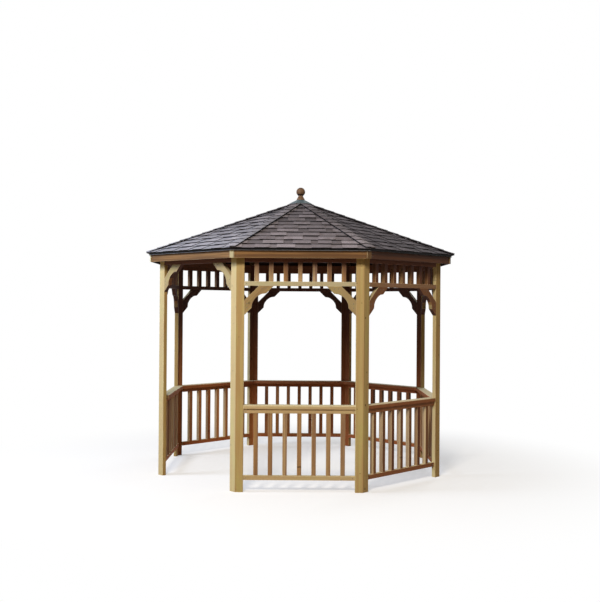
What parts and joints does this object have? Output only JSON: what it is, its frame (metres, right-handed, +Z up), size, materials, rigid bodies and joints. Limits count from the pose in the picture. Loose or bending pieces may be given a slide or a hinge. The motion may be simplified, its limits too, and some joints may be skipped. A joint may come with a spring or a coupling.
{
  "type": "garden gazebo",
  "caption": "Open octagonal timber garden gazebo with posts, railings, a baluster frieze, curved corner braces and a shingled pyramid roof with a ball finial.",
  "frame": {"origin": "on the ground, on the upright axis through the centre of the octagon", "axes": "+Z up; the open entrance bay faces -Y; +X to the right of someone looking in through the entrance"},
  "size_m": [2.88, 2.88, 2.7741],
  "materials": {
    "post_timber": "planed cedar, oiled",
    "rail_timber": "planed cedar, oiled",
    "baluster_timber": "planed cedar, oiled",
    "roof_timber": "sawn cedar",
    "fascia_timber": "planed cedar, oiled",
    "sheathing": "plywood",
    "shingle": "mineral granules on asphalt",
    "drip_metal": "black enamel on folded steel",
    "cap_metal": "weathered grey-green sheet metal",
    "finial_timber": "turned and stained"
  },
  "bodies": {
    "root": {"post_1": "post_timber", "post_2": "post_timber", "post_3": "post_timber", "post_4": "post_timber", "post_5": "post_timber", "post_6": "post_timber", "post_7": "post_timber", "post_8": "post_timber", "railing_front_right": "baluster_timber", "handrail_front_right": "rail_timber", "frieze_front_right": "baluster_timber", "railing_right": "baluster_timber", "handrail_right": "rail_timber", "frieze_right": "baluster_timber", "railing_back_right": "baluster_timber", "handrail_back_right": "rail_timber", "frieze_back_right": "baluster_timber", "railing_back": "baluster_timber", "handrail_back": "rail_timber", "frieze_back": "baluster_timber", "railing_back_left": "baluster_timber", "handrail_back_left": "rail_timber", "frieze_back_left": "baluster_timber", "railing_left": "baluster_timber", "handrail_left": "rail_timber", "frieze_left": "baluster_timber", "railing_front_left": "baluster_timber", "handrail_front_left": "rail_timber", "frieze_front_left": "baluster_timber", "header_beams": "rail_timber", "corner_braces": "rail_timber", "king_block": "roof_timber", "hip_rafters": "roof_timber", "common_rafters": "roof_timber", "fascia_boards": "fascia_timber", "roof_deck": "sheathing", "shingle_fields": "shingle", "hip_caps": "shingle", "drip_edge": "drip_metal", "apex_cap": "cap_metal", "finial": "finial_timber"}
  },
  "joints": []
}
